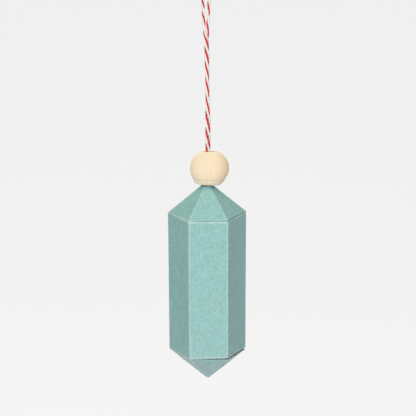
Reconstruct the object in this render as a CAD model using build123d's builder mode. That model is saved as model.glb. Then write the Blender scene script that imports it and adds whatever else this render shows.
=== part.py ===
from build123d import *

import os
from math import atan, cos, degrees, pi, radians, sin, sqrt, tan

# A folded card crystal, a hexagonal prism with a pointed cap at each end, hung by a
# loop of baker's twine under a wooden bead. Millimetres, +Z up. The origin is the
# inner top of the twine's loop, where a hook carries it.

# Card crystal
SIDE = 20.0  # one edge of the hexagon
PRISM_HEIGHT = 74.0
TOP_HEIGHT = 17.0  # rim to point of the top cap, along the axis
LID_HEIGHT = 16.4  # rim to point of the lid
CARD = 0.35  # thickness of the card
APEX_HOLE = 2.4  # axis to each flat of the twine hole in the top point
LID_TIP = 0.6  # axis to each flat of the blunt bottom point

# Tuck tabs and glue flaps
TAB_DEPTH = 6.0
TAB_WIDTH = 15.0  # at the fold
TAB_TAPER = 35.0  # degrees that each end of a tab slants in
TAB_GAP = 0.3  # lid tab to wall, at the fold
TAB_LEAN = 6.0  # degrees that a lid tab leans in from the wall
FLAP_WIDTH = 6.0
FLAP_INSET = 0.5  # flap to the fold that it comes from
FLAP_CLEAR = 2.0  # flap end to a tab, or to the rim
FLAP_TRIM = 3.0  # slant at each end of a flap
FLAP_SHORT = 5.0  # cap flap end to the point of the cap

# Bottom lid
FOLD_GAP = 0.12  # lid rim to wall when the lid is pushed home
LID_AJAR = 1.5  # degrees that the lid stands open at rest

# Wooden bead
BEAD_DIAMETER = 20.0
BEAD_BORE = 8.0
BEAD_FLAT = 0.75  # width of the flat ring round the top of the bore
BEAD_FOOT = 5.6  # radius of the wider flat that it stands on
BEAD_RIM = 0.3  # rounding of the bead's rims
BEAD_LEAN = 10.5  # degrees that the loose bead leans back
BEAD_ROLL = 3.0  # degrees that its right side hangs low
BEAD_STAND = (0.8137, -0.7598, -117.335)  # middle of that flat, round the point of the crystal

# Twine and its stopper knot
TWINE_DIAMETER = 1.65
KNOT_SEAT = 0.1  # knot's line of contact outside the twine hole
KNOT_GAP = 0.15  # knot to the card above it
KNOT_DRAW = 2.03  # length of each strand drawn into the knot
TAIL_LENGTH = 9.0
TAIL_SPLAY = 15.0  # degrees that each tail stands off the axis

# One strand rises from the knot, turns in front of the other, goes round the hook
# and comes down again on the far side.
TWINE_ROUTE = [
    (0.85, -0.35, -119.5),
    (1.35, 0.20, -100.0),
    (0.75, -0.37, -80.0),
    (0.05, -0.54, -58.0),
    (-0.55, -0.45, -42.0),
    (-1.25, -0.05, -35.0),
    (-1.60, 0.05, -27.0),
    (-2.25, 0.05, -12.0),
    (-2.88, 0.00, -0.44),
    (0.00, 0.00, 1.23),
    (2.88, 0.00, -0.44),
    (2.00, 0.10, -12.0),
    (0.90, 0.35, -27.0),
    (0.42, 1.05, -42.0),
    (0.35, 1.36, -58.0),
    (0.15, 1.47, -80.0),
    (-0.25, 1.15, -100.0),
    (-0.72, 0.38, -119.5),
]
ARC_SHARE = 0.45  # part of the shorter run that each bend takes up

# Each side of the hexagon by the bearing of its outward normal, in degrees.
SIDES = {
    "front": 270,
    "front_right": 330,
    "back_right": 30,
    "back": 90,
    "back_left": 150,
    "front_left": 210,
}
FOLD_SIDE = "front_left"  # both caps hinge on this wall
SEAM_SIDE = "back_right"  # the glue flaps lie inside this side

MITRE = tan(pi / 6)  # half width of a side per unit of distance from the axis
apothem = SIDE / 2 / MITRE
top_slope = atan(TOP_HEIGHT / apothem)
lid_slope = atan(LID_HEIGHT / apothem)

# The knot is drawn up under the twine hole, and the crystal hangs on the knot.
knot_radius = (APEX_HOLE + KNOT_SEAT) / sin(top_slope)
knot_z = TWINE_ROUTE[0][2] + KNOT_DRAW - knot_radius
apex_z = knot_z + (knot_radius + KNOT_GAP + CARD) / cos(top_slope)
top_rim_z = apex_z - TOP_HEIGHT
low_rim_z = top_rim_z - PRISM_HEIGHT
lid_rim_z = low_rim_z - FOLD_GAP

UP = Vector(0, 0, 1)


def outward(bearing):
    return Vector(cos(radians(bearing)), sin(radians(bearing)), 0)


def along(bearing):
    """Direction along a side, anticlockwise seen from above."""
    return outward(bearing + 90)


fold_axis = Axis(
    outward(SIDES[FOLD_SIDE]) * apothem + UP * lid_rim_z, along(SIDES[FOLD_SIDE])
)


def ajar(plane):
    """The plane carried round the lid's fold from shut to its resting place."""
    turn = Axis((0, 0, 0), fold_axis.direction)
    foot = fold_axis.position
    return Plane(
        origin=foot + (plane.origin - foot).rotate(turn, -LID_AJAR),
        x_dir=plane.x_dir.rotate(turn, -LID_AJAR),
        z_dir=plane.z_dir.rotate(turn, -LID_AJAR),
    )


def save(piece, name):
    piece.part.label = name
    export_step(piece.part, f"parts/{name}.step")


def card_leaf(name, face, outer, inner):
    """One flat leaf of the card between the outlines of its two faces."""
    with BuildPart() as leaf:
        for plane, outline in ((face, outer), (face.offset(-CARD), inner)):
            with BuildSketch(plane):
                with BuildLine():
                    Polyline(*outline, close=True)
                make_face()
        loft(ruled=True)
    save(leaf, name)


def wall_plane(bearing):
    return Plane(
        origin=outward(bearing) * apothem + UP * low_rim_z,
        x_dir=along(bearing),
        z_dir=outward(bearing),
    )


def wall_outline(depth):
    half = (apothem - depth) * MITRE
    return [(-half, 0), (half, 0), (half, PRISM_HEIGHT), (-half, PRISM_HEIGHT)]


def facet_plane(bearing, rim_z, slope, way):
    """Outer face of a cap's facet, with its y axis from the rim to the point."""
    return Plane(
        origin=outward(bearing) * apothem + UP * rim_z,
        x_dir=along(bearing) * way,
        z_dir=outward(bearing) * sin(slope) + UP * (way * cos(slope)),
    )


def facet_outline(depth, hole, slope):
    base = (apothem - depth / sin(slope)) * MITRE
    foot = depth / tan(slope)
    tip = (apothem - depth * sin(slope) - hole) / cos(slope)
    return [(-base, foot), (base, foot), (hole * MITRE, tip), (-hole * MITRE, tip)]


def tab_outline():
    half = TAB_WIDTH / 2
    end = half - TAB_DEPTH * tan(radians(TAB_TAPER))
    return [(-half, 0), (half, 0), (end, TAB_DEPTH), (-end, TAB_DEPTH)]


def top_tab_plane(bearing):
    """A top tab hangs from the rim, glued to the inside of its wall."""
    return Plane(
        origin=outward(bearing) * (apothem - CARD) + UP * top_rim_z,
        x_dir=along(bearing) * -1,
        z_dir=outward(bearing),
    )


def lid_tab_plane(bearing):
    """A lid tab stands inside its wall and leans in, so that the lid can swing."""
    lean = radians(TAB_LEAN)
    return ajar(
        Plane(
            origin=outward(bearing) * (apothem - CARD - TAB_GAP) + UP * lid_rim_z,
            x_dir=along(bearing),
            z_dir=outward(bearing) * cos(lean) + UP * sin(lean),
        )
    )


def side_flap_outline():
    edge = (apothem - CARD) * MITRE - FLAP_INSET
    end = TAB_DEPTH + FLAP_CLEAR
    return [
        (edge, end),
        (edge, PRISM_HEIGHT - end),
        (edge - FLAP_WIDTH, PRISM_HEIGHT - end - FLAP_TRIM),
        (edge - FLAP_WIDTH, end + FLAP_TRIM),
    ]


def cap_flap_outline(hole, slope, way):
    """A strip along one ridge, on the inner face of a facet."""
    rim, point = [Vector(*p) for p in facet_outline(CARD, hole, slope)[1:3]]
    ridge = (point - rim).normalized()
    inward = Vector(-ridge.Y, ridge.X)
    first = FLAP_CLEAR
    last = (point - rim).length - FLAP_SHORT
    corners = [
        (first, FLAP_INSET),
        (last, FLAP_INSET),
        (last - FLAP_TRIM, FLAP_INSET + FLAP_WIDTH),
        (first + FLAP_TRIM, FLAP_INSET + FLAP_WIDTH),
    ]
    places = [rim + ridge * s + inward * w for s, w in corners]
    return [(p.X * way, p.Y) for p in places]


os.makedirs("parts", exist_ok=True)

# Walls, with the glue flap of the seam between the back and the back right
for side, bearing in SIDES.items():
    card_leaf(f"wall_{side}", wall_plane(bearing), wall_outline(0), wall_outline(CARD))
flap = side_flap_outline()
card_leaf("side_glue_flap", wall_plane(SIDES[SEAM_SIDE]).offset(-CARD), flap, flap)

# Top cap, folded from the front left wall and glued all round by its tabs
for side, bearing in SIDES.items():
    face = facet_plane(bearing, top_rim_z, top_slope, 1)
    outlines = [facet_outline(depth, APEX_HOLE, top_slope) for depth in (0, CARD)]
    card_leaf(f"top_facet_{side}", face, *outlines)
    if side != FOLD_SIDE:
        card_leaf(f"top_tab_{side}", top_tab_plane(bearing), tab_outline(), tab_outline())
flap = cap_flap_outline(APEX_HOLE, top_slope, 1)
seam = facet_plane(SIDES[SEAM_SIDE], top_rim_z, top_slope, 1).offset(-CARD)
card_leaf("top_glue_flap", seam, flap, flap)

# Bottom lid, folded from the front left wall and only tucked in elsewhere
for side, bearing in SIDES.items():
    face = ajar(facet_plane(bearing, lid_rim_z, lid_slope, -1))
    outlines = [facet_outline(depth, LID_TIP, lid_slope) for depth in (0, CARD)]
    card_leaf(f"lid_facet_{side}", face, *outlines)
    if side != FOLD_SIDE:
        card_leaf(f"lid_tab_{side}", lid_tab_plane(bearing), tab_outline(), tab_outline())
flap = cap_flap_outline(LID_TIP, lid_slope, -1)
seam = ajar(facet_plane(SIDES[SEAM_SIDE], lid_rim_z, lid_slope, -1)).offset(-CARD)
card_leaf("lid_glue_flap", seam, flap, flap)

# Bead, leaning back on the point of the crystal with the twine loose in its bore
bead_radius = BEAD_DIAMETER / 2
flat_radius = BEAD_BORE / 2 + BEAD_FLAT
bead_top = sqrt(bead_radius**2 - flat_radius**2)
bead_base = -sqrt(bead_radius**2 - BEAD_FOOT**2)
lean = radians(BEAD_LEAN)
bead_foot = Plane(
    origin=BEAD_STAND, x_dir=(1, 0, 0), z_dir=(0, sin(lean), cos(lean))
).rotated((0, BEAD_ROLL, 0))
bead_frame = bead_foot.offset(-bead_base)
bead_section = Plane(
    origin=bead_frame.origin, x_dir=bead_frame.x_dir, z_dir=bead_frame.y_dir * -1
)
with BuildPart() as bead:
    with BuildSketch(bead_section) as half_section:
        with BuildLine():
            Polyline(
                (flat_radius, bead_top),
                (BEAD_BORE / 2, bead_top),
                (BEAD_BORE / 2, bead_base),
                (BEAD_FOOT, bead_base),
            )
            ThreePointArc((BEAD_FOOT, bead_base), (bead_radius, 0), (flat_radius, bead_top))
        make_face()
        fillet(half_section.vertices(), BEAD_RIM)
    revolve(axis=Axis(bead_frame.origin, bead_frame.z_dir))
save(bead, "bead")

# Twine loop, one strand up and over the hook and back down
route = [Vector(*point) for point in TWINE_ROUTE]
bends = []
for before, corner, after in zip(route, route[1:], route[2:]):
    turn = radians((corner - before).get_angle(after - corner))
    shorter_run = min((corner - before).length, (after - corner).length)
    bends.append(ARC_SHARE * shorter_run / tan(turn / 2))
print("twine bend radii:", [round(bend, 1) for bend in bends])

with BuildPart() as twine:
    with BuildLine() as twine_line:
        FilletPolyline(*route, radius=bends)
    line = twine_line.wires()[0]
    with BuildSketch(Plane(origin=line @ 0, z_dir=line % 0)):
        Circle(TWINE_DIAMETER / 2)
    sweep(path=line)
save(twine, "twine")
tube = pi * TWINE_DIAMETER**2 / 4 * line.length
print(f"twine length {line.length:.1f}, volume over section times length {twine.part.volume / tube:.4f}")

# Stopper knot under the twine hole, with its two tails
with BuildPart() as stopper_knot:
    with BuildSketch(Plane.XZ) as ball:
        with BuildLine():
            Line((0, knot_z - knot_radius), (0, knot_z + knot_radius))
            ThreePointArc(
                (0, knot_z + knot_radius), (knot_radius, knot_z), (0, knot_z - knot_radius)
            )
        make_face()
    revolve(axis=Axis.Z)
    for way in (1, -1):
        splay = radians(TAIL_SPLAY) * way
        tail = Plane(origin=(0, 0, knot_z), z_dir=(sin(splay), 0, -cos(splay)))
        with BuildSketch(tail):
            Circle(TWINE_DIAMETER / 2)
        extrude(amount=knot_radius + TAIL_LENGTH)
save(stopper_knot, "stopper_knot")

print(f"apex {apex_z:.3f}, rims {top_rim_z:.3f} {low_rim_z:.3f}, top slope {degrees(top_slope):.2f} deg")
print("bead centre", bead_frame.origin, "axis", bead_frame.z_dir)
print("lid fold", fold_axis.position, fold_axis.direction)
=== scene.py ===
from math import atan, cos, degrees, exp, pi, radians, sin, sqrt, tan

import bmesh
import bpy
import numpy as np
from mathutils import Matrix, Quaternion, Vector


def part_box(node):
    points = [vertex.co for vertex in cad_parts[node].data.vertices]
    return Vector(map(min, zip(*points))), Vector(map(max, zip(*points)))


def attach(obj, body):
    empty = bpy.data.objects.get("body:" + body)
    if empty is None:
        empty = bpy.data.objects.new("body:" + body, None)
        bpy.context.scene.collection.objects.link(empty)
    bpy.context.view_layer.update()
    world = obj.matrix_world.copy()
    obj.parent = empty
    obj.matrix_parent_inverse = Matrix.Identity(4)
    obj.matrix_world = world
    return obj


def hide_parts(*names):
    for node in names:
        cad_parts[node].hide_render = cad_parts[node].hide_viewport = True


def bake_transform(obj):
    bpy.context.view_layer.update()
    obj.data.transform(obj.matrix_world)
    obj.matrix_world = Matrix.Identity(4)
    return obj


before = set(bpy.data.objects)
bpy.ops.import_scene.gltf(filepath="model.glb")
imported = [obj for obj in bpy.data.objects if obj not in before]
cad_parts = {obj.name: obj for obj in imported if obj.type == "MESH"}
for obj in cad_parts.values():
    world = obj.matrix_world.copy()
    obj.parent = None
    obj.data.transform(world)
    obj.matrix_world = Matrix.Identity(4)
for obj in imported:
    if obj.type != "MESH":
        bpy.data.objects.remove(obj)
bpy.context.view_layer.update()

MM = 0.001

# Card crystal, in millimetres, with its rims where the walls of the frame end
SIDE = 20.0
CARD = 0.35
TOP_HEIGHT = 17.0  # rim to point of the top cap
LID_HEIGHT = 16.4  # rim to point of the lid
TWINE_HOLE = 1.6  # axis to each flat of the hole in the top point
BLUNT_TIP = 0.6  # axis to each flat of the bottom point
FOLD_RADIUS = 0.5  # outside of a fold between two leaves
LIP_RADIUS = 0.2  # outside of a fold into a tab
TOP_LIP = 0.142  # how far up a top facet that fold starts
LID_LIP = 0.42  # how far up a lid facet it starts
FOLD_GAP = 0.12  # lid's rim to the walls when the lid is shut
TAB_WIDTH = 15.0  # at the fold
TAB_TAPER = 35.0  # degrees that each end of a tab slants in
TAB_IN = 0.65  # wall's outside to a lid tab's
TAB_LEAN = 6.0  # degrees that a lid tab leans in from the wall
MITRE = tan(pi / 6)
APOTHEM = SIDE / 2 / MITRE
LOW_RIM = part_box("wall_front")[0].z / MM
TOP_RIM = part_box("wall_front")[1].z / MM
TOP_SLOPE = atan(TOP_HEIGHT / APOTHEM)
LID_SLOPE = atan(LID_HEIGHT / APOTHEM)
LID_RIM = LOW_RIM - FOLD_GAP
LID_AJAR = 1.5  # degrees that the lid of the frame stands open
LID_TILT = 0.5  # degrees that the worn lid hangs below that
WALL_DROP = 0.18  # wall edge below the line where the top cap would meet it

# Sides anticlockwise from the glued seam, by the bearing of the outward normal
SIDES = {"back": 90, "back_left": 150, "front_left": 210, "front": 270, "front_right": 330, "back_right": 30}
CORNER = 60  # degrees from one side to the next
FOLD_SIDE = "front_left"
SEAM_SIDE = "back_right"  # its far end is the glued seam
SEAM_GROOVE = 0.012  # share of its distance from the axis by which the seam lies in
FOLD_PALING = 0.42  # how much paler the card is made along an upright fold
FOLD_PALING_WIDTH = 0.75  # to each side of the fold

# How far a rim stands off each wall, at the side's far end and in its middle, in millimetres
CAP_LIFT = {
    "back": (0.10, 0.06), "back_left": (0.02, 0.04), "front_left": (0.06, 0.0),
    "front": (0.36, 0.30), "front_right": (0.20, 0.44), "back_right": (0.12, 0.08),
}
LID_SAG = {
    "back": (0.08, -0.03), "back_left": (-0.02, -0.05), "front_left": (-0.02, 0.0),
    "front": (-0.10, -0.24), "front_right": (0.06, -0.24), "back_right": (0.12, 0.0),
}
# Tab folds that stand open and are painted dark as painted shade, and how far up the tab that shade reaches
SHADE_PAINTED_FOLDS = {"front": 0.1, "front_right": 0.9}
PAINTED_HIGHLIGHT_LIPS = {"front_right": 0.85}  # how pale the lid's rim is painted under its tab, a painted highlight
FOOT_DROP = 0.2  # how much lower the walls end at the right corner
FOOT_FADE = 3.0  # height over which the walls take that up
LID_SKEW = 0.62  # how far the lid's point lies to the right of the middle
# How far the card stands out at its left corner and in at its right one, by rim, in millimetres
TOP_SPREAD = (0.35, -0.11)
LOW_SPREAD = (0.1, 0.17)
WALL_BOW = {"front_left": -0.12, "front_right": -0.60}  # how far the middle of a side is out of flat
LID_BOW = {"front_right": -1.2}  # the same of a lid facet, which takes half of it
STRAIGHT_EDGE = 3.0  # depth along each rim in which a wall comes back to straight
WALL_STEPS = 8  # steps of its points between those
SWELL_SCALE = 45.0  # how often the card swells in and out, in a metre
LID_SWELL = 0.08  # how far a lid facet stands out in its middle
WELD = 0.002  # points closer than this are one

# Bead, as it leans on the point of the crystal
BEAD_CENTRE = Vector((1.24, 0.75, -109.2)) * MM
BEAD_AXIS = Vector((0.05146, 0.182236, 0.981907))
BEAD_RADIUS = 10.0
BEAD_BORE_RADIUS = 4.0
BEAD_FLAT = 0.75  # ring round the top of the bore
BEAD_FOOT = 5.6  # radius of the flat it stands on
TOOL_LINE = 5.6  # faint ring cut this far below its middle, with painted shade along it and painted bounce light under it
TOOL_CUT = (34, 1.6, 0.09)  # degrees below the middle, half width in degrees and depth of that ring
RAISED_BAND = (46, 11, 0.13)  # the same of the band under it, and how far that stands out
FLAT_FLANK = 0.3  # how far its lower right side is cut in
FLANK_DEPTHS = (1.0, 3.5)  # below the middle, where that begins and where it is full
FLANK_END = 0.8  # height over the foot in which it runs out
FULL_FOOT = 0.45  # how far its foot stands out at the left
FOOT_DEPTHS = (6.2, 7.6)  # below the middle, where that begins and where it is full
RIM_EASE, FOOT_EASE = 0.035, 0.03  # radians that the ball stops short of its two flats, for soft edges

# Twine, up from the knot, round the hook and down again
TWINE_DIAMETER = 1.65
RED_PLY = 0.84
WHITE_PLY = 1.12
PLY_SIDES = 10
TWINE_LAY = 9.2  # length of one full turn of the two plies where the twine hangs free
HOOK_RUN = 30.0  # marks of the red ply further apart than this have the hook between them
TWINE_ROUTE = [
    (0.85, -0.35, -119.5),
    (1.35, 0.20, -100.0),
    (0.75, -0.37, -80.0),
    (0.05, -0.54, -58.0),
    (-0.55, -0.45, -42.0),
    (-1.25, -0.05, -35.0),
    (-1.60, 0.05, -27.0),
    (-2.25, 0.05, -12.0),
    (-2.88, 0.00, -0.44),
    (0.00, 0.00, 1.23),
    (2.88, 0.00, -0.44),
    (2.00, 0.10, -12.0),
    (0.90, 0.35, -27.0),
    (0.42, 1.05, -42.0),
    (0.35, 1.36, -58.0),
    (0.15, 1.47, -80.0),
    (-0.25, 1.15, -100.0),
    (-0.72, 0.38, -119.5),
]
# Depths below the hook at which the red ply of each run comes round to the front
RED_FRONT_UP = [127.0, 110.0, 93.3, 75.3, 57.4, 41.4, 29.9, 22.4]
RED_FRONT_DOWN = [25.2, 35.4, 49.3, 65.8, 84.3, 101.5, 118.5]
WOUND_FROM, WOUND_BY = 36.5, 43.0  # depths between which the two runs come to wind round each other
# How far the plies stand off the middle of the wound twine, by depth
WOUND_REACH = [(45, 0.85), (50, 0.90), (58, 0.66), (75, 0.64), (82, 1.00), (100, 1.00), (113, 0.72)]
RED_SHARE, WHITE_SHARE = 0.9, 0.92  # of that reach


def linear(*rgb):
    """A colour read off as 8-bit values, as the shader wants it."""
    return tuple(((v / 255 + 0.055) / 1.055) ** 2.4 if v > 10 else v / 255 / 12.92 for v in rgb) + (1.0,)


def ramp(value, start, full):
    """From 0 at start to 1 at full, and level past both."""
    return max(0.0, min(1.0, (value - start) / (full - start)))


class Wiring:
    """Short calls for the nodes of one tree."""

    def __init__(self, tree):
        self.tree = tree

    def add(self, kind, *values, **settings):
        node = self.tree.nodes.new(kind)
        for key, value in settings.items():
            setattr(node, key, value)
        for socket, value in zip(node.inputs, values):
            self.feed(socket, value)
        return node

    def feed(self, socket, value):
        if isinstance(value, bpy.types.NodeSocket):
            self.tree.links.new(value, socket)
        elif value is not None:
            socket.default_value = value

    def math(self, operation, *values):
        return self.add("ShaderNodeMath", *values, operation=operation).outputs[0]

    def vector(self, operation, *values):
        return self.add("ShaderNodeVectorMath", *values, operation=operation).outputs[0]

    def scaled(self, vector, factor):
        node = self.add("ShaderNodeVectorMath", vector, operation="SCALE")
        self.feed(node.inputs["Scale"], factor)
        return node.outputs[0]

    def remap(self, value, start, full, low, high):
        return self.add("ShaderNodeMapRange", value, start, full, low, high).outputs[0]

    def store(self, geometry, name, value):
        node = self.add("GeometryNodeStoreNamedAttribute", geometry, None, name, value, data_type="FLOAT")
        return node.outputs[0]

    def mix(self, factor, a, b, kind="RGBA"):
        node = self.add("ShaderNodeMix", data_type=kind)
        first = {"FLOAT": 2, "VECTOR": 4, "RGBA": 6}[kind]
        self.feed(node.inputs[0], factor)
        self.feed(node.inputs[first], a)
        self.feed(node.inputs[first + 1], b)
        return node.outputs[{"FLOAT": 0, "VECTOR": 1, "RGBA": 2}[kind]]

    def noise(self, coordinates, scale, detail=2.0, kind="3D", seed=0.0):
        node = self.add("ShaderNodeTexNoise", noise_dimensions=kind)
        self.feed(node.inputs["Vector"], coordinates)
        self.feed(node.inputs["Scale"], scale)
        node.inputs["Detail"].default_value = detail
        if kind == "4D":
            self.feed(node.inputs["W"], seed)
        return node.outputs[0]


def new_group(name, kind, inputs, outputs):
    group = bpy.data.node_groups.new(name, kind)
    for way, sockets in (("INPUT", inputs), ("OUTPUT", outputs)):
        for label, socket in sockets:
            group.interface.new_socket(name=label, in_out=way, socket_type="NodeSocket" + socket)
    wiring = Wiring(group)
    return group, wiring, wiring.add("NodeGroupInput").outputs, wiring.add("NodeGroupOutput").inputs


def mesh_of(name, points, edges=(), faces=()):
    mesh = bpy.data.meshes.new(name)
    mesh.from_pydata([tuple(p) for p in points], list(edges), list(faces))
    mesh.update()
    return mesh


def show(name, mesh):
    piece = bpy.data.objects.new(name, mesh)
    bpy.context.scene.collection.objects.link(piece)
    return piece


def point_values(mesh, **columns):
    for name, values in columns.items():
        values = np.asarray(values, np.float32)
        kind, field = ("FLOAT", "value") if values.ndim == 1 else ("FLOAT_VECTOR", "vector")
        mesh.attributes.new(name, kind, "POINT").data.foreach_set(field, values.ravel())


def grown(base, tree, name, **inputs):
    """The plain mesh that a geometry tree makes from a base mesh."""
    seed = show(name + "_base", base)
    modifier = seed.modifiers.new("tree", "NODES")
    modifier.node_group = tree
    for item in tree.interface.items_tree:
        if item.in_out == "INPUT" and item.name in inputs:
            modifier[item.identifier] = inputs[item.name]
    depsgraph = bpy.context.evaluated_depsgraph_get()
    mesh = bpy.data.meshes.new_from_object(
        seed.evaluated_get(depsgraph), preserve_all_data_layers=True, depsgraph=depsgraph
    )
    seed.modifiers.remove(modifier)
    bpy.data.objects.remove(seed)
    mesh.name = name
    return mesh


def soften(mesh, sharp_over):
    mesh.shade_smooth()
    mesh.set_sharp_from_angle(angle=radians(sharp_over))


# Finishes

FINER = 2.4  # tooth of a surface, which the light catches, to the grain of its tone
STREAK_TOOTH = 0.4  # share of the streaks in that tooth
FIBRE_TURNS = 260.0  # turns of the fibres round a ply, in a metre
FIBRE_SCALE = 120.0  # scale of their pattern along a ply, in a metre

CARD_GREEN = linear(151, 198, 195)
# Paler card, for worn edges and for painted highlights
WEAR_AND_HIGHLIGHT_CARD = linear(220, 237, 233)
# Painted shade for the open tab folds
PAINTED_CREASE_SHADE = linear(16, 26, 26)
PALE_WOOD = linear(245, 229, 202)
# Darker, warmer wood painted on the bead's right side as painted shade
WOOD_IN_PAINTED_SHADE = linear(235, 209, 169)
TWINE_RED = linear(214, 26, 42)
TWINE_WHITE = linear(253, 244, 237)


def fibre_group():
    """Cloudy tone, fine grain and long streaks, for card, wood and cotton."""
    group, w, given, out = new_group(
        "fibre_tone", "ShaderNodeTree",
        [("Coordinates", "Vector"), ("Cloud Scale", "Float"), ("Grain Scale", "Float"),
         ("Streak Scale", "Float"), ("Cloud", "Float"), ("Grain", "Float"), ("Streak", "Float"),
         ("Streak Stretch", "Float")],
        [("Tone", "Float"), ("Tooth", "Float")],
    )
    place = given["Coordinates"]
    squeeze = w.add("ShaderNodeCombineXYZ", 1.0, 1.0, given["Streak Stretch"]).outputs[0]
    cloud = w.noise(place, given["Cloud Scale"], 3.0)
    grain = w.noise(place, given["Grain Scale"], 2.0)
    streak = w.noise(w.vector("MULTIPLY", place, squeeze), given["Streak Scale"], 2.0)
    tone = 1.0
    for field, share in ((cloud, "Cloud"), (grain, "Grain"), (streak, "Streak")):
        tone = w.math("ADD", tone, w.math("MULTIPLY", w.math("SUBTRACT", field, 0.5), given[share]))
    w.feed(out["Tone"], tone)
    fine = w.noise(place, w.math("MULTIPLY", given["Grain Scale"], FINER), 2.0)
    w.feed(out["Tooth"], w.math("ADD", fine, w.math("MULTIPLY", streak, STREAK_TOOTH)))
    return group


def blank_finish(name):
    material = bpy.data.materials.new(name)
    material.use_nodes = True
    material.node_tree.nodes.clear()
    w = Wiring(material.node_tree)
    shader = w.add("ShaderNodeBsdfPrincipled")
    w.feed(w.add("ShaderNodeOutputMaterial").inputs["Surface"], shader.outputs[0])
    return material, w, shader.inputs


def toned(w, fibre, coordinates, **values):
    node = w.add("ShaderNodeGroup", node_tree=fibre)
    w.feed(node.inputs["Coordinates"], coordinates)
    for key, value in values.items():
        node.inputs[key.replace("_", " ").title()].default_value = value
    return node.outputs["Tone"], node.outputs["Tooth"]


def tinted(w, colour, tone):
    """A colour made lighter or darker by the tone."""
    grey = w.add("ShaderNodeCombineColor", tone, tone, tone).outputs[0]
    node = w.add("ShaderNodeMix", data_type="RGBA", blend_type="MULTIPLY")
    node.inputs[0].default_value = 1.0
    w.feed(node.inputs[6], colour)
    w.feed(node.inputs[7], grey)
    return node.outputs[2]


def bumped(w, height, strength, distance):
    node = w.add("ShaderNodeBump")
    node.inputs["Strength"].default_value = strength
    node.inputs["Distance"].default_value = distance
    w.feed(node.inputs["Height"], height)
    return node.outputs[0]


def green_card(fibre):
    material, w, shader = blank_finish("green_card")
    place = w.add("ShaderNodeTexCoord").outputs["Object"]
    tone, tooth = toned(
        w, fibre, w.vector("MULTIPLY", place, (1.0, 0.7, 1.0)), cloud_scale=260.0, grain_scale=950.0,
        streak_scale=1000.0, cloud=0.16, grain=0.50, streak=0.16, streak_stretch=0.12,
    )
    card = tinted(w, CARD_GREEN, tone)
    # Paler where worn and where a highlight is painted
    wear_and_highlight_share = w.add("ShaderNodeAttribute", attribute_name="worn").outputs["Fac"]
    broken = w.remap(w.noise(place, 420.0, 3.0), 0.34, 0.62, 0.4, 1.0)
    wear_and_highlight_mix = w.math("MULTIPLY", w.math("MULTIPLY", wear_and_highlight_share, broken), 0.75)
    # Painted shade in the open tab folds
    shade_share = w.add("ShaderNodeAttribute", attribute_name="soiled").outputs["Fac"]
    card = w.mix(w.math("MULTIPLY", shade_share, 0.95), card, PAINTED_CREASE_SHADE)
    w.feed(shader["Base Color"], w.mix(wear_and_highlight_mix, card, WEAR_AND_HIGHLIGHT_CARD))
    w.feed(shader["Roughness"], w.remap(tooth, 0.3, 1.1, 0.76, 0.62))
    shader["Specular IOR Level"].default_value = 0.4
    shader["Sheen Weight"].default_value = 0.45
    shader["Sheen Roughness"].default_value = 0.3
    w.feed(shader["Normal"], bumped(w, tooth, 1.0, 0.0002))
    return material


def bead_wood(fibre):
    material, w, shader = blank_finish("bead_wood")
    place = w.add("ShaderNodeTexCoord").outputs["Object"]
    turn = BEAD_AXIS.rotation_difference(Vector((0, 0, 1))).to_euler()
    centred = w.vector("SUBTRACT", place, tuple(BEAD_CENTRE))
    upright = w.add("ShaderNodeMapping", centred, (0, 0, 0), tuple(turn)).outputs[0]
    tone, tooth = toned(
        w, fibre, upright, cloud_scale=110.0, grain_scale=900.0, streak_scale=750.0,
        cloud=0.06, grain=0.05, streak=0.12, streak_stretch=0.07,
    )
    across, _, height = w.add("ShaderNodeSeparateXYZ", upright).outputs
    # Painted shade: the bead turns darker and warmer towards its right side
    painted_shade_side = w.remap(across, 2.5 * MM, 10.0 * MM, 0.0, 1.0)
    wood = w.mix(painted_shade_side, PALE_WOOD, WOOD_IN_PAINTED_SHADE)
    # Painted shade along the cut ring, and painted bounce light on the band under it
    line = w.math("ABSOLUTE", w.math("ADD", height, TOOL_LINE * MM))
    line = w.remap(line, 0.15 * MM, 0.6 * MM, 0.07, 0.0)
    band = w.remap(height, -TOOL_LINE * MM, (-TOOL_LINE - 0.6) * MM, 0.0, 0.05)
    tone = w.math("ADD", w.math("SUBTRACT", tone, line), band)
    w.feed(shader["Base Color"], tinted(w, wood, tone))
    w.feed(shader["Roughness"], w.remap(tooth, 0.3, 1.1, 0.62, 0.5))
    shader["Specular IOR Level"].default_value = 0.3
    shader["Diffuse Roughness"].default_value = 0.7
    w.feed(shader["Normal"], bumped(w, tooth, 0.12, 0.0001))
    return material


def cotton(fibre, name, colour):
    material, w, shader = blank_finish(name)
    along = w.add("ShaderNodeAttribute", attribute_name="along").outputs["Fac"]
    around = w.add("ShaderNodeAttribute", attribute_name="around").outputs["Fac"]
    spin = w.math("MULTIPLY", w.math("ADD", around, w.math("MULTIPLY", along, FIBRE_TURNS)), 2 * pi)
    ring = w.math("COSINE", spin), w.math("SINE", spin), w.math("MULTIPLY", along, FIBRE_SCALE)
    place = w.add("ShaderNodeCombineXYZ", *ring).outputs[0]
    tone, tooth = toned(
        w, fibre, place, cloud_scale=0.6, grain_scale=6.0, streak_scale=3.0,
        cloud=0.15, grain=0.2, streak=0.35, streak_stretch=0.12,
    )
    w.feed(shader["Base Color"], tinted(w, colour, tone))
    shader["Roughness"].default_value = 0.9
    shader["Specular IOR Level"].default_value = 0.2
    shader["Sheen Weight"].default_value = 0.3
    shader["Subsurface Weight"].default_value = 0.5
    shader["Subsurface Radius"].default_value = (1.0, 0.8, 0.7)
    shader["Subsurface Scale"].default_value = 0.6 * MM
    w.feed(shader["Normal"], bumped(w, tooth, 0.5, 0.0001))
    return material


# Folded card

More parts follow.
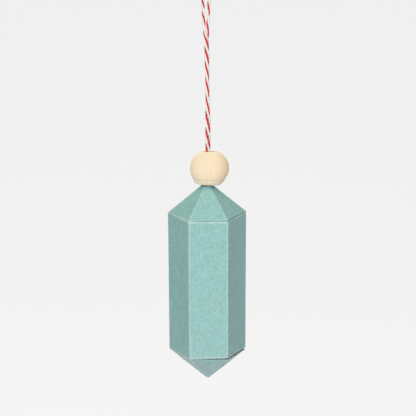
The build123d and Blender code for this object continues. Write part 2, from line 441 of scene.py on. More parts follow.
def card_tree():
    """Carries a profile of distance and height round the plan of the crystal."""
    group, w, given, out = new_group(
        "folded_card", "GeometryNodeTree",
        [("Plan", "Geometry"), ("Profile", "Object"), ("Apothem", "Float"), ("Belly", "Float"),
         ("Seed", "Float"), ("Card", "Material")],
        [("Folded Card", "Geometry")],
    )
    plan = given["Plan"]
    profile = w.add("GeometryNodeObjectInfo", given["Profile"], transform_space="ORIGINAL")
    profile = profile.outputs["Geometry"]
    columns = w.add("GeometryNodeAttributeDomainSize", plan).outputs["Point Count"]
    rows = w.add("GeometryNodeAttributeDomainSize", profile).outputs["Point Count"]

    def whole(operation, a, b):
        return w.add("FunctionNodeIntegerMath", a, b, operation=operation).outputs[0]

    down = whole("ADD", rows, 1)
    grid = w.add("GeometryNodeMeshGrid", 1.0, 1.0, whole("ADD", columns, 1), down).outputs["Mesh"]
    index = w.add("GeometryNodeInputIndex").outputs[0]
    column = whole("MODULO", whole("DIVIDE_FLOOR", index, down), columns)
    row = whole("MODULO", whole("MODULO", index, down), rows)
    place = w.add("GeometryNodeInputPosition").outputs[0]

    def read(geometry, at, name=None, kind="FLOAT"):
        value = place
        if name:
            value = w.add("GeometryNodeInputNamedAttribute", name, data_type=kind).outputs["Attribute"]
        return w.add("GeometryNodeSampleIndex", geometry, value, at, data_type=kind).outputs[0]

    foot = read(plan, column, kind="FLOAT_VECTOR")
    fold = read(plan, column, "fold")
    section = w.mix(
        fold, read(profile, row, kind="FLOAT_VECTOR"), read(profile, row, "folded", "FLOAT_VECTOR"), "VECTOR"
    )
    section = w.add("ShaderNodeSeparateXYZ", section).outputs
    lift = w.math("MULTIPLY", read(plan, column, "lift"), read(profile, row, "lifted"))
    height = w.add("ShaderNodeCombineXYZ", 0.0, 0.0, w.math("ADD", section[2], lift)).outputs[0]
    point = w.vector("ADD", w.scaled(foot, w.math("DIVIDE", section[0], given["Apothem"])), height)

    swell = w.math("SUBTRACT", w.noise(point, SWELL_SCALE, 1.0, "4D", given["Seed"]), 0.5)
    swell = w.math("MULTIPLY", w.math("MULTIPLY", swell, given["Belly"]), read(plan, column, "flat"))
    swell = w.math("ADD", swell, read(plan, column, "bow"))
    swell = w.math("MULTIPLY", swell, read(profile, row, "belly"))
    point = w.vector("ADD", point, w.scaled(w.vector("NORMALIZE", foot), swell))

    # Paler at cut edges and along folds, from wear and painted highlight
    edge = w.mix(fold, read(profile, row, "worn_cut"), read(profile, row, "worn_fold"), "FLOAT")
    ridge = w.math("MULTIPLY", read(plan, column, "crease"), read(profile, row, "outside"))
    worn = w.math("MAXIMUM", edge, ridge)
    folded = w.add("GeometryNodeSetPosition", w.store(grid, "worn", worn), None, point).outputs[0]
    welded = w.add("GeometryNodeMergeByDistance", folded, None)
    welded.inputs["Distance"].default_value = WELD * MM
    folded = w.add("GeometryNodeRealizeInstances", welded.outputs[0]).outputs[0]
    w.feed(out["Folded Card"], w.add("GeometryNodeSetMaterial", folded, None, given["Card"]).outputs[0])
    return group


def rim_shift(rim_lift, side, share):
    """How far a rim is off its wall, by the share of the way along a side."""
    before = rim_lift[list(SIDES)[list(SIDES).index(side) - 1]][0]
    end, middle = rim_lift[side]
    return before * (1 - share) + end * share + middle * (1 - (2 * share - 1) ** 2)


def plan_of_folds(name, rim_lift, bows):
    """The outline of the hexagon, closely spaced near the folds and rounded at them."""
    reach = SIDE / 2 - FOLD_RADIUS * MITRE
    off_fold = [0.0, 0.12, 0.3, 0.6, 1.0, 2.2, 4.2, 6.6]
    across = [d - reach for d in off_fold] + [0.0] + [reach - d for d in reversed(off_fold)]
    points, crease, fold, lift, flat, bow = [], [], [], [], [], []
    names = list(SIDES)
    for k, (side, bearing) in enumerate(SIDES.items()):
        out = Vector((cos(radians(bearing)), sin(radians(bearing)), 0))
        along = Vector((-out.y, out.x, 0))
        before, after = names[k - 1], names[(k + 1) % len(names)]
        near = [(-reach, turn) for turn in (-20, -10)]
        far = [(reach, turn) for turn in (10, 20, 30)]
        for s, turn in near + [(s, 0) for s in across] + far:
            direction = out * cos(radians(turn)) + along * sin(radians(turn))
            point = out * (APOTHEM - FOLD_RADIUS) + along * s + direction * FOLD_RADIUS
            seam = side == SEAM_SIDE and turn == 30
            points.append(point * (1 - SEAM_GROOVE * seam) * MM)
            gap = reach - abs(s)
            crease.append(0.0 if seam else FOLD_PALING * max(0.0, 1 - gap / FOLD_PALING_WIDTH))
            middle = 1 - (s / reach) ** 2
            lift.append(rim_shift(rim_lift, side, (s / reach + 1) / 2) * MM)
            neighbour = after if turn > 0 else before
            own = 1 - abs(turn) / CORNER
            fold.append(own * (side == FOLD_SIDE) + (1 - own) * (neighbour == FOLD_SIDE))
            flat.append(middle)
            bow.append(bows.get(side, 0.0) * middle * MM)
    mesh = mesh_of(name, points)
    point_values(mesh, crease=crease, fold=fold, lift=lift, flat=flat, bow=bow)
    return mesh


def up_slope(y, rim, way, depth=0.0):
    """Distance and height of a point of a cap, y up the slope from its rim."""
    slope = TOP_SLOPE if way > 0 else LID_SLOPE
    return (
        APOTHEM - y * cos(slope) - depth * sin(slope),
        rim + way * (y * sin(slope) - depth * cos(slope)),
    )


def lip(start, rim, way, turn, radius=LIP_RADIUS):
    """A point on the fold between a cap's facet and its tab, by its bearing in degrees."""
    r, z = up_slope(start, rim, way, LIP_RADIUS)
    return r + radius * cos(radians(turn)), z + way * radius * sin(radians(turn))


def facet_belly(y, slant):
    """Share of the swell of a facet, y up its slant from the rim."""
    return 0.5 * sin(pi * y / slant)


def profile_row(cut, folded=None, lifted=0.0, worn_cut=0.0, worn_fold=None, belly=0.0, outside=1.0):
    """A point of a profile, on the cut sides and on the one that is folded from the wall.

    It has its share of the rim's lift and of the swell, how pale it is on each from wear and painted
    highlight, and whether it is outside.
    """
    return cut, folded or cut, lifted, worn_cut, worn_cut if worn_fold is None else worn_fold, belly, outside


def profile_object(name, rows):
    cut, folded, lifted, worn_cut, worn_fold, belly, outside = zip(*rows)
    mesh = mesh_of(name, [(r * MM, 0, z * MM) for r, z in cut])
    point_values(
        mesh, folded=[(r * MM, 0, z * MM) for r, z in folded], lifted=lifted, worn_cut=worn_cut,
        worn_fold=worn_fold, belly=belly, outside=outside,
    )
    return show(name, mesh)


def crystal_profile():
    rows = []

    def add(cut, folded=None, **shares):
        rows.append(profile_row(cut, folded, **shares))

    def wall_belly(k):
        return 0.2 + 0.8 * sin(pi * k / WALL_STEPS)

    a, low, top = APOTHEM, LOW_RIM, TOP_RIM
    bowed = top - low - 2 * STRAIGHT_EDGE
    low_fold = (a - 0.02, low)
    slant = (a - TWINE_HOLE) / cos(TOP_SLOPE)
    add((a - 0.05, low - 0.1), low_fold, worn_cut=1.0)
    add((a, low - 0.05), low_fold, worn_cut=1.0)
    add((a, low + 0.40), worn_cut=0.8)
    add((a, low + 0.85))
    for k in range(WALL_STEPS + 1):
        add((a, low + STRAIGHT_EDGE + bowed * k / WALL_STEPS), belly=wall_belly(k))
    add((a, top - 1.1))
    bend = FOLD_RADIUS * tan(pi / 4 - TOP_SLOPE / 2)

    def arc(share):
        turn = share * (pi / 2 - TOP_SLOPE)
        return a - FOLD_RADIUS * (1 - cos(turn)), top - bend + FOLD_RADIUS * sin(turn)

    edge = top - WALL_DROP
    add((a, edge - 0.85), (a, top - 0.9))
    # The wall's top edge is paler from wear, with a painted highlight on the edge under the cap's lip
    add((a, edge - 0.45), (a, top - 0.7), worn_cut=0.8, worn_fold=0.0)
    add((a, edge - 0.05), (a, top - 0.45), worn_cut=1.0, worn_fold=0.3)
    add((a - 0.05, edge), arc(0.0), worn_cut=1.0, worn_fold=0.8)
    add((a - 0.33, edge), arc(0.1), worn_cut=0.4, worn_fold=1.0)
    add((a - 0.42, edge - 0.5), arc(0.2), worn_fold=1.0)
    add((a - 0.62, edge - 0.5), arc(0.35), worn_fold=1.0)
    add((a - 0.64, top - 0.15), arc(0.5), lifted=0.6, worn_fold=1.0)
    for turn, share in ((-110, 0.6), (-70, 0.7), (-30, 0.8), (10, 0.9)):
        add(lip(TOP_LIP, top, 1, turn), arc(share), lifted=1.0, worn_cut=0.1, worn_fold=1.0)
    add(up_slope(TOP_LIP, top, 1), arc(1.0), lifted=1.0, worn_cut=0.15, worn_fold=0.9)
    add(up_slope(0.45, top, 1), lifted=0.98, worn_cut=0.1, worn_fold=0.4)
    for y in (0.9, 1.8, 3.6, 6.5, 10.0, 13.5, 16.5, 18.5, 20.0, 21.0):
        add(up_slope(y, top, 1), lifted=1 - y / slant, belly=facet_belly(y, slant))
    tip = up_slope(slant, top, 1)
    add((tip[0] + 0.04, tip[1] - 0.02), worn_cut=0.3)
    add((tip[0], tip[1] - 0.06), worn_cut=0.3)
    add((tip[0], tip[1] - CARD / cos(TOP_SLOPE)), outside=0.0)
    for y in (18.0, 12.0, 6.0, 2.2):
        add(up_slope(y, top, 1, CARD), lifted=1 - y / slant, belly=facet_belly(y, slant), outside=0.0)
    add((a - 0.98, top - 0.1), lifted=0.8, outside=0.0)
    add((a - 0.95, top - 0.95), outside=0.0)
    add((a - CARD, top - 2.0), outside=0.0)
    for k in range(1, WALL_STEPS):
        inner = a - CARD, top - STRAIGHT_EDGE - bowed * k / WALL_STEPS
        add(inner, belly=wall_belly(k), outside=0.0)
    add((a - CARD, low + 0.05), outside=0.0)
    add((a - CARD + 0.05, low - 0.1), (a - CARD + 0.05, low), worn_cut=0.6, outside=0.0)
    return profile_object("crystal_profile", rows)


def lid_profile():
    rows = []

    def add(cut, folded=None, sag=0.0, **shares):
        rows.append(profile_row(cut, folded, lifted=sag, **shares))

    a, rim = APOTHEM, LID_RIM
    slant = (a - BLUNT_TIP) / cos(LID_SLOPE)
    tip = up_slope(slant, rim, -1)
    add((0.05, tip[1] - 0.12), worn_cut=0.3)
    add((0.32, tip[1] - 0.09), worn_cut=0.3)
    add(tip, worn_cut=0.2)
    for y in (22.0, 20.5, 18.0, 14.5, 11.0, 7.5, 4.5, 2.4, 1.2):
        swell = LID_SWELL * sin(pi * y / slant)
        add(up_slope(y, rim, -1, -swell), sag=1 - y / slant, belly=facet_belly(y, slant))
    add(up_slope(0.75, rim, -1), sag=1.0, worn_cut=0.05)
    flush = [up_slope(y, rim, -1) for y in (LID_LIP, 0.3, 0.2, 0.1)] + [(a - 0.05, rim), (a - 0.3, rim)]
    for turn, folded in zip((46.6, 10, -30, -70, -100), flush):
        add(lip(LID_LIP, rim, -1, turn), folded, sag=1.0, worn_cut=0.1)
    add((a - 0.6, rim + 0.02), flush[5], sag=1.0)
    add((a - 0.63, rim - 0.12), (a - 0.5, rim), sag=1.0, outside=0.0)
    for y in (0.9, 2.4, 7.5, 14.5, 20.5):
        add(up_slope(y, rim, -1, CARD), sag=1 - y / slant, belly=facet_belly(y, slant), outside=0.0)
    add((0.3, tip[1] + 0.52), outside=0.0)
    add((0.05, tip[1] + 0.5), outside=0.0)
    return profile_object("lid_profile", rows)


def spread(mesh, top, low, shares=None):
    """Carries the left and the right of the card sideways, by how far up the walls it is."""
    for vertex in mesh.vertices:
        x, z = vertex.co.x / MM, vertex.co.z / MM
        share = shares[vertex.index] if shares else 1.0
        up = ramp(z, LOW_RIM, TOP_RIM)
        left, right = [b + (t - b) * up for t, b in zip(top, low)]
        across = (x / SIDE + 1) / 2
        over_rim = max(0.0, z - TOP_RIM) / TOP_HEIGHT
        vertex.co.x -= (left + (right - left) * across) * (1 - over_rim) * share * MM


def drop_foot(mesh):
    """Carries the lower edge of the walls down towards the right corner."""
    for vertex in mesh.vertices:
        x, z = vertex.co.x / MM, vertex.co.z / MM
        near = max(0.0, 1 - abs(z - LOW_RIM) / FOOT_FADE)
        vertex.co.z -= FOOT_DROP * near * ramp(x, SIDE / 2, SIDE) * MM


def lid_turn(angle):
    """From the lid shut to the lid as it hangs, a little open on its fold."""
    bearing = radians(SIDES[FOLD_SIDE])
    foot = Vector((APOTHEM * cos(bearing), APOTHEM * sin(bearing), LID_RIM)) * MM
    along = Vector((-sin(bearing), cos(bearing), 0))
    return Matrix.Translation(foot) @ Matrix.Rotation(radians(-angle), 4, along) @ Matrix.Translation(-foot)


def lid_skew():
    """Carries the lid's point aside, and leaves its rim."""
    lean = Matrix.Identity(4)
    lean[0][2] = -LID_SKEW / LID_HEIGHT
    lean[0][3] = -lean[0][2] * LID_RIM * MM
    return lean


def folded_card(name, tree, profile, card, rim_lift, bows, belly, seed):
    mesh = grown(
        plan_of_folds(name + "_plan", rim_lift, bows), tree, name, Profile=profile, Apothem=APOTHEM * MM,
        Belly=belly * MM, Seed=seed, Card=card,
    )
    bpy.data.objects.remove(profile)
    soften(mesh, sharp_over=50)
    return show(name, mesh)


def fold_strip(name, card, side, rows, upper, lower, sag=None):
    """A skin over the fold between two leaves.

    Its rows are (outside, inside, share of the lower leaf, wear and painted highlight, painted shade, half
    width). Where a sag is given, the upper leaf is a tab, which stays in its place. Otherwise it is a wall,
    spread as the lid is.
    """
    bearing = radians(SIDES[side])
    out = Vector((cos(bearing), sin(bearing), 0))
    along = Vector((-out.y, out.x, 0))
    points, worn, soiled, moved = [], [], [], []
    steps, n = 25, len(rows)
    for layer in (0, 1):
        for row in rows:
            (r, z), (share, wear_and_highlight_share, shade_share, half) = row[layer], row[2:]
            for k in range(steps):
                s = (2 * k / (steps - 1) - 1) * half
                spot = (out * r + along * s + Vector((0, 0, z))) * MM
                shift = rim_shift(sag, side, s / SIDE + 0.5) * MM if sag else 0.0
                points.append((upper @ spot).lerp(lower @ (spot + Vector((0, 0, shift))), share))
                worn.append(wear_and_highlight_share)
                soiled.append(shade_share)
                moved.append(share if sag else 1.0)
    faces = []

    def at(layer, i, k):
        return (layer * n + i) * steps + k

    for i in range(n - 1):
        for k in range(steps - 1):
            faces.append((at(0, i, k), at(0, i + 1, k), at(0, i + 1, k + 1), at(0, i, k + 1)))
            faces.append((at(1, i, k), at(1, i, k + 1), at(1, i + 1, k + 1), at(1, i + 1, k)))
    for i in range(n - 1):
        for k, way in ((0, 1), (steps - 1, -1)):
            faces.append((at(0, i, k), at(1, i, k), at(1, i + 1, k), at(0, i + 1, k))[::way])
    for k in range(steps - 1):
        for i, way in ((0, -1), (n - 1, 1)):
            faces.append((at(0, i, k), at(1, i, k), at(1, i, k + 1), at(0, i, k + 1))[::way])
    mesh = mesh_of(name, points, faces=faces)
    point_values(mesh, worn=worn, soiled=soiled)
    mesh.materials.append(card)
    spread(mesh, LOW_SPREAD, LOW_SPREAD, moved)
    soften(mesh, sharp_over=50)
    strip = show(name, mesh)
    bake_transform(strip)


def lid_fold_strip(card):
    """The crease that the lid swings on, over the wall's foot and the lid's edge."""
    skin, proud, half = 0.08, 0.02, SIDE / 2 - 0.75
    rows = []
    for z, worn in ((0.9, 0), (0.6, 0.1), (0.3, 0.5), (0.12, 0.9)):
        rows.append(((APOTHEM + proud, LOW_RIM + z), 0, worn))
    rows.append(((APOTHEM + proud - 0.01, LOW_RIM - FOLD_GAP / 2), 0.5, 1.0))
    for y, worn in ((0.08, 1.0), (0.25, 0.6), (0.55, 0.1), (0.9, 0)):
        rows.append((up_slope(y, LID_RIM, -1, -proud), 1, worn))
    rows = [((r, z), (r - skin, z), share, worn, 0.0, half) for (r, z), share, worn in rows]
    fold_strip(
        "lid_fold_strip", card, FOLD_SIDE, rows, Matrix.Identity(4), lid_turn(LID_AJAR + LID_TILT),
    )


def tab_fold_strip(card, side):
    """The crease between a tuck tab and the lid's rim."""
    skin, proud = 0.06, 0.015
    lean = radians(TAB_LEAN)

    def up_tab(height, depth):
        return (
            APOTHEM - TAB_IN - height * sin(lean) - depth * cos(lean),
            LID_RIM + height * cos(lean) - depth * sin(lean),
        )

    # Painted shade over the open fold, up the tab as far as given
    shade_height = SHADE_PAINTED_FOLDS.get(side, 0.0)
    has_painted_shade = float(shade_height > 0)
    rows = []
    for height in (1.15, 0.85, 0.55, 0.25, 0.08):
        half = TAB_WIDTH / 2 - height * tan(radians(TAB_TAPER))
        shade_share = float(height < shade_height)
        rows.append((up_tab(height, -proud), up_tab(height, skin), 0, 0.0, shade_share, half))
    # Lip rows: a painted highlight on the front_right lip and plain wear on the others, with painted shade on
    # the inner rows of the open folds
    wear_and_highlight_share = PAINTED_HIGHLIGHT_LIPS.get(side, 0.1)
    for turn, share, shade_share in ((-115, 0.5, has_painted_shade), (-90, 1, 0.6 * has_painted_shade), (-60, 1, 0), (-25, 1, 0), (10, 1, 0)):
        outside, inside = [lip(LID_LIP, LID_RIM, -1, turn, LIP_RADIUS + d) for d in (proud, -skin)]
        rows.append((outside, inside, share, wear_and_highlight_share * (1 - shade_share), shade_share, TAB_WIDTH / 2))
    fold_strip(
        f"tab_fold_strip_{side}", card, side, rows, lid_turn(LID_AJAR),
        lid_turn(LID_AJAR + LID_TILT) @ lid_skew(),
        LID_SAG,
    )


# Bead

def out_of_round(turn, z, foot):
    """How far the surface of the bead is off its circle, in millimetres."""
    right, left = max(0.0, cos(turn)) ** 2, max(0.0, -cos(turn)) ** 2
    flank = min(ramp(-z, *FLANK_DEPTHS), ramp(foot + z, 0.0, FLANK_END))
    return FULL_FOOT * left * ramp(-z, *FOOT_DEPTHS) - FLAT_FLANK * right * flank


def turned_bead(wood):
    """A ball turned on a lathe and bored through, with a soft rim and a faint tool line low down.

    Its section goes up the bore, out over the rim, down the outside and in over the foot.
    """
    bore, flat = BEAD_BORE_RADIUS, BEAD_BORE_RADIUS + BEAD_FLAT
    top, foot = sqrt(BEAD_RADIUS**2 - flat**2), sqrt(BEAD_RADIUS**2 - BEAD_FOOT**2)
    section = [(bore, z) for z in (0.4 - foot, 0.0, top - 0.6)]
    section += [(bore + 0.05, top - 0.35), (bore + 0.2, top - 0.1), (bore + 0.4, top)]
    section += [(flat - 0.25, top - 0.02)]
    high, low, steps = atan(top / flat) - RIM_EASE, atan(foot / BEAD_FOOT) - FOOT_EASE, 64
    ring_at, ring_width, ring_depth = TOOL_CUT
    band_at, band_width, band_height = RAISED_BAND
    for k in range(steps + 1):
        angle = high - (high + low) * k / steps
        ring = exp(-((degrees(angle) + ring_at) / ring_width) ** 2)
        band = max(0.0, 1 - abs(degrees(angle) + band_at) / band_width)
        radius = BEAD_RADIUS - ring_depth * ring + band_height * band
        section.append((radius * cos(angle), radius * sin(angle)))
    section += [(BEAD_FOOT - 0.25, 0.02 - foot), (bore + 0.35, -foot), (bore + 0.12, 0.1 - foot)]
    stand = Vector((0, 0, 1)).rotation_difference(BEAD_AXIS).to_matrix()
    around, n = 96, len(section)
    points = []
    for k in range(around):
        turn = 2 * pi * k / around
        for r, z in section:
            if r > flat:
                r += out_of_round(turn, z, foot)
            points.append(BEAD_CENTRE + stand @ Vector((r * cos(turn), r * sin(turn), z)) * MM)
    faces = []
    for k in range(around):
        for i in range(n):
            a, b = k * n, (k + 1) % around * n
            j = (i + 1) % n
            faces.append((a + i, a + j, b + j, b + i))
    mesh = mesh_of("turned_bead", points, faces=faces)
    mesh.materials.append(wood)
    soften(mesh, sharp_over=60)
    return show("turned_bead", mesh)


# Twine

def twine_line(name, route):
    """Points read off one smooth curve along a route in millimetres."""
    curve = bpy.data.curves.new(name, "CURVE")
    curve.dimensions, curve.resolution_u = "3D", 24
    spline = curve.splines.new("NURBS")
    spline.points.add(len(route) - 1)
    for point, place in zip(spline.points, route):
        point.co = (*[c * MM for c in place], 1.0)
    spline.order_u = 3
    spline.use_endpoint_u = True
    carrier = bpy.data.objects.new(name, curve)
    mesh = bpy.data.meshes.new_from_object(carrier)
    points = [v.co.copy() for v in mesh.vertices]
    bpy.data.objects.remove(carrier)
    bpy.data.curves.remove(curve)
    bpy.data.meshes.remove(mesh)
    return points


def ply_tree():
    """One ply of cotton along a line."""
    group, w, given, out = new_group(
        "cotton_ply", "GeometryNodeTree",
        [("Line", "Geometry"), ("Thickness", "Float"), ("Sides", "Int"), ("Cotton", "Material")],
        [("Ply", "Geometry")],
    )
    line = w.add("GeometryNodeMeshToCurve", given["Line"]).outputs[0]
    along = w.add("GeometryNodeSplineParameter").outputs
    line = w.store(line, "along", along["Length"])
    circle = w.add("GeometryNodeCurvePrimitiveCircle")
    w.feed(circle.inputs["Resolution"], given["Sides"])
    w.feed(circle.inputs["Radius"], w.math("MULTIPLY", given["Thickness"], 0.5))
    ring = w.store(circle.outputs[0], "around", along["Factor"])
    tube = w.add("GeometryNodeCurveToMesh", line, ring)
    tube.inputs["Fill Caps"].default_value = True
    solid = w.add("GeometryNodeRealizeInstances", tube.outputs[0]).outputs[0]
    w.feed(out["Ply"], w.add("GeometryNodeSetMaterial", solid, None, given["Cotton"]).outputs[0])
    return group


def unit(vectors):
    return vectors / np.linalg.norm(vectors, axis=-1, keepdims=True)


def line_frame(line):
    """Distance along a line, and two directions square to it that turn no more than it does."""
    line = np.array(line) / MM
    steps = np.linalg.norm(np.diff(line, axis=0), axis=1)
    ahead = unit(np.gradient(line, axis=0))
    side = np.empty_like(line)
    side[0] = unit(np.cross(ahead[0], (1.0, 0.0, 0.0)))
    for k in range(1, len(line)):
        side[k] = unit(side[k - 1] - ahead[k] * (side[k - 1] @ ahead[k]))
    return line, np.concatenate([[0.0], np.cumsum(steps)]), side, np.cross(ahead, side)


def ply_lines(line):
    """The red and the white ply of the hanging twine, wound together below where its two runs meet."""
    line, along, side, across = line_frame(line)
    depth = -line[:, 2]
    top = int(np.argmin(depth))
    up, down = slice(0, top + 1), slice(top, len(line))

    # Turn of the red ply, which faces the front at each mark
    spots = [np.interp(-d, -depth[up], along[up]) for d in RED_FRONT_UP if d < depth[0]]
    spots += [np.interp(d, depth[down], along[down]) for d in RED_FRONT_DOWN]
    front = np.array((0.0, -1.0, 0.0))
    turns = []
    for spot in spots:
        k = int(np.argmin(np.abs(along - spot)))
        angle = np.arctan2(front @ across[k], front @ side[k])
        if turns:
            laps = round((spot - last) / TWINE_LAY) if spot - last > HOOK_RUN else 1
            due = turns[-1] - 2 * pi * laps
            angle = due + (angle - due + pi) % (2 * pi) - pi
        turns.append(angle)
        last = spot
    rate = -2 * pi / TWINE_LAY
    turn = np.interp(along, spots, turns)
    turn += rate * np.minimum(0, along - spots[0]) + rate * np.maximum(0, along - spots[-1])
    red = side * np.cos(turn)[:, None] + across * np.sin(turn)[:, None]
    beside = across * np.cos(turn)[:, None] - side * np.sin(turn)[:, None]
    beside[down] *= -1

    # The other run at the same height
    other = np.empty_like(line)
    for run, far in ((up, down), (down, up)):
        order = np.argsort(depth[far])
        for axis in range(2):
            other[run, axis] = np.interp(depth[run], depth[far][order], line[far][order, axis])
    other[:, 2] = line[:, 2]

    # From two runs by themselves to one twine wound from both
    share = np.clip((depth - WOUND_FROM) / (WOUND_BY - WOUND_FROM), 0, 1)[:, None]
    share = share * share * (3 - 2 * share)
    core = line * (1 - share) + (line + other) / 2 * share
    reach = share * np.interp(depth, *zip(*WOUND_REACH))[:, None]
    red_line = core + red * ((TWINE_DIAMETER - RED_PLY) / 2 * (1 - share) + reach * RED_SHARE)
    white_line = core + (share - 1) * red * (TWINE_DIAMETER - WHITE_PLY) / 2 + beside * reach * WHITE_SHARE
    return red_line * MM, white_line * MM


def free_ply_lines(line, phase):
    """The red and the white ply of a length of twine by itself."""
    line, along, side, across = line_frame(line)
    turn = (phase - 2 * pi * along / TWINE_LAY)[:, None]
    red = side * np.cos(turn) + across * np.sin(turn)
    return (
        (line + red * (TWINE_DIAMETER - RED_PLY) / 2) * MM,
        (line - red * (TWINE_DIAMETER - WHITE_PLY) / 2) * MM,
    )


def cotton_plies(name, tree, lines, red, white):
    """One mesh of the plies along pairs of lines."""
    whole = bmesh.new()
    for k, line in enumerate(lines):
        thick, material, slot = ((RED_PLY, red, 0), (WHITE_PLY, white, 1))[k % 2]
        base = mesh_of(f"{name}_line", line, edges=[(i, i + 1) for i in range(len(line) - 1)])
        mesh = grown(base, tree, f"{name}_ply", Thickness=thick * MM, Sides=PLY_SIDES, Cotton=material)
        first = len(whole.faces)
        whole.from_mesh(mesh)
        whole.faces.ensure_lookup_table()
        for face in whole.faces[first:]:
            face.material_index = slot
        bpy.data.meshes.remove(mesh)
    mesh = bpy.data.meshes.new(name)
    whole.to_mesh(mesh)
    whole.free()
    mesh.materials.append(red)
    mesh.materials.append(white)
    soften(mesh, sharp_over=60)
    return show(name, mesh)


# Two strands of the knot from its middle, each down from the twine hole, once round and out to a tail
KNOT_STRANDS = [
    [(0.62, -0.26, 1.9), (0.5, -0.2, 0.6), (1.3, 1.0, -0.6), (2.3, -0.2, -1.0), (0.9, -2.2, -0.2),
     (-1.5, -1.8, 0.9), (-2.3, 0.6, 1.0), (-0.6, 2.2, 0.2), (0.6, 1.0, -1.2), (0.7, 0.1, -2.6),
     (1.2, 0.1, -5.0), (2.2, -0.2, -9.0), (3.1, 0.3, -12.3)],
    [(-0.62, 0.36, 1.9), (-0.5, 0.3, 0.6), (-1.2, -1.0, -1.2), (-2.2, 0.3, -1.6), (-0.8, 2.1, -1.2),
     (1.5, 1.7, 0.6), (2.2, -0.7, 0.7), (0.7, -2.0, -1.4), (-0.7, -0.9, -2.2), (-0.8, -0.1, -3.2),
     (-1.3, 0.1, -5.4), (-2.2, 0.3, -9.0), (-3.1, -0.2, -12.0)],
]
KNOT_MIDDLE = 3.64  # below the top of the knot of the frame
KNOT_PHASE = 1.3  # radians that the plies of the second strand are turned from those of the first


def tied_knot(tree, red, white):
    """The doubled twine tied in one thick knot, with its two cut tails."""
    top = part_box("stopper_knot")[1].z / MM
    lines = []
    for k, strand in enumerate(KNOT_STRANDS):
        line = twine_line(f"knot_strand_{k}", [(x, y, top - KNOT_MIDDLE + z) for x, y, z in strand])
        lines += free_ply_lines(line, KNOT_PHASE * k)
    return cotton_plies("tied_knot", tree, lines, red, white)


# Stage, in metres

SENSOR = 36.0  # width, in millimetres
PICTURE_WIDTH = 416
FOCAL_PIXELS = 2528.35  # focal length, in pixels of that width
CAMERA_BEARING, CAMERA_RISE, CAMERA_LEAN = radians(-2.157), radians(16.699), radians(-0.2)
CAMERA_TARGET = Vector((0.391, 0, -130.187)) * MM
CAMERA_DISTANCE = 1302.94 * MM
LIGHT_TARGET = Vector((0, 0, -0.16))
FLOOR_LEVEL, FLOOR_REACH = -1.6, 9.0
FLOOR_GREY = (0.86, 0.86, 0.86, 1.0)
WORLD_LIGHT = (0.11, 0.11, 0.11, 1.0)
WORLD_SEEN = linear(240, 240, 241)
FLOOR_GLOW = 0.76  # what the camera sees of the floor over the light that falls on it


def photo_camera():
    data = bpy.data.cameras.new("photo_camera")
    data.sensor_width, data.lens = SENSOR, SENSOR * FOCAL_PIXELS / PICTURE_WIDTH
    data.clip_start, data.clip_end = 0.01, 50
    camera = bpy.data.objects.new("photo_camera", data)
    bpy.context.scene.collection.objects.link(camera)
    level = cos(CAMERA_RISE)
    back = Vector((sin(CAMERA_BEARING) * level, -cos(CAMERA_BEARING) * level, sin(CAMERA_RISE)))
    camera.location = CAMERA_TARGET + back * CAMERA_DISTANCE
    camera.rotation_mode = "QUATERNION"
    camera.rotation_quaternion = (-back).to_track_quat("-Z", "Y") @ Quaternion((0, 0, 1), CAMERA_LEAN)
    bpy.context.scene.camera = camera


def soft_light(name, place, size, power, colour=(1, 1, 1)):
    data = bpy.data.lights.new(name, "AREA")
    data.shape, data.size, data.energy, data.color = "SQUARE", size, power, colour
    light = bpy.data.objects.new(name, data)
    light.location = place
    light.visible_camera = False
    aim = LIGHT_TARGET - Vector(place)
    light.rotation_mode = "QUATERNION"
    light.rotation_quaternion = aim.to_track_quat("-Z", "Y")
    bpy.context.scene.collection.objects.link(light)


def pale_floor():
    corners = ((-1, -1), (1, -1), (1, 1), (-1, 1))
    points = [(x * FLOOR_REACH, y * FLOOR_REACH, FLOOR_LEVEL) for x, y in corners]
    mesh = mesh_of("floor", points, faces=[(0, 1, 2, 3)])
    material, w, shader = blank_finish("pale_floor")
    place = w.add("ShaderNodeTexCoord").outputs["Object"]
    shade = w.remap(w.noise(place, 0.6, 1.0), 0.3, 0.7, 0.97, 1.0)
    w.feed(shader["Base Color"], tinted(w, FLOOR_GREY, shade))
    shader["Roughness"].default_value = 0.9
    shader["Specular IOR Level"].default_value = 0.0
    shader["Emission Color"].default_value = (1.0, 1.0, 1.0, 1.0)
    w.feed(shader["Emission Strength"], w.math("MULTIPLY", seen_ray(w), FLOOR_GLOW))
    mesh.materials.append(material)
    show("floor", mesh)


def seen_ray(w):
    """1 for what is seen straight, in a reflection or through glass."""
    ray = w.add("ShaderNodeLightPath").outputs
    seen = w.math("MAXIMUM", ray["Is Camera Ray"], ray["Is Glossy Ray"])
    return w.math("MAXIMUM", seen, ray["Is Transmission Ray"])


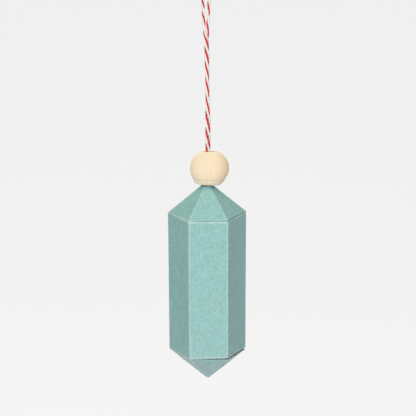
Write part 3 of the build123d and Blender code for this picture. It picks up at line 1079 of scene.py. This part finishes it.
def pale_world():
    world = bpy.data.worlds.new("pale_world")
    bpy.context.scene.world = world
    world.use_nodes = True
    world.node_tree.nodes.clear()
    w = Wiring(world.node_tree)
    lit = w.add("ShaderNodeBackground", WORLD_LIGHT, 1.0).outputs[0]
    pale = w.add("ShaderNodeBackground", WORLD_SEEN, 1.0).outputs[0]
    both = w.add("ShaderNodeMixShader", seen_ray(w), lit, pale).outputs[0]
    w.feed(w.add("ShaderNodeOutputWorld").inputs["Surface"], both)


photo_camera()
fibre = fibre_group()
card = green_card(fibre)
wood = bead_wood(fibre)
red = cotton(fibre, "red_ply", TWINE_RED)
white = cotton(fibre, "white_ply", TWINE_WHITE)

ply = ply_tree()
run = twine_line("twine_run", TWINE_ROUTE)
twine = cotton_plies("laid_twine", ply, ply_lines(run), red, white)
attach(twine, "twine_loop")
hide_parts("twine")
knot = tied_knot(ply, red, white)
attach(knot, "twine_loop")
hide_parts("stopper_knot")

sweep = card_tree()
crystal = folded_card("crystal_card", sweep, crystal_profile(), card, CAP_LIFT, WALL_BOW, belly=0.5, seed=3.0)
spread(crystal.data, TOP_SPREAD, LOW_SPREAD)
drop_foot(crystal.data)
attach(crystal, "crystal")
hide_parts(*[f"wall_{side}" for side in SIDES], *[f"top_facet_{side}" for side in SIDES])
lid = folded_card("lid_card", sweep, lid_profile(), card, LID_SAG, LID_BOW, belly=0.3, seed=8.0)
lid.data.transform(lid_turn(LID_AJAR + LID_TILT) @ lid_skew())
spread(lid.data, LOW_SPREAD, LOW_SPREAD)
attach(lid, "lid")
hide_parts(*[f"lid_facet_{side}" for side in SIDES])
lid_fold_strip(card)
for side in SIDES:
    if side != FOLD_SIDE:
        tab_fold_strip(card, side)
bead = turned_bead(wood)
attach(bead, "bead")
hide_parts("bead")

for name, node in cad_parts.items():
    if "tab" in name or "flap" in name:
        node.data.materials.clear()
        node.data.materials.append(card)

pale_floor()
pale_world()
soft_light("upper_softbox", (-0.25, -1.55, 1.50), size=1.9, power=30.3, colour=(1.0, 0.97, 0.76))
soft_light("front_softbox", (-0.12, -2.3, 0.65), size=1.5, power=34.0, colour=(0.84, 0.88, 1.0))
soft_light("back_softbox", (0.0, 3.0, 0.40), size=2.4, power=42.0)
soft_light("low_softbox", (0.05, -0.36, -0.93), size=0.6, power=2.0, colour=(1.0, 0.57, 0.52))
bpy.context.scene.view_settings.view_transform = "Standard"
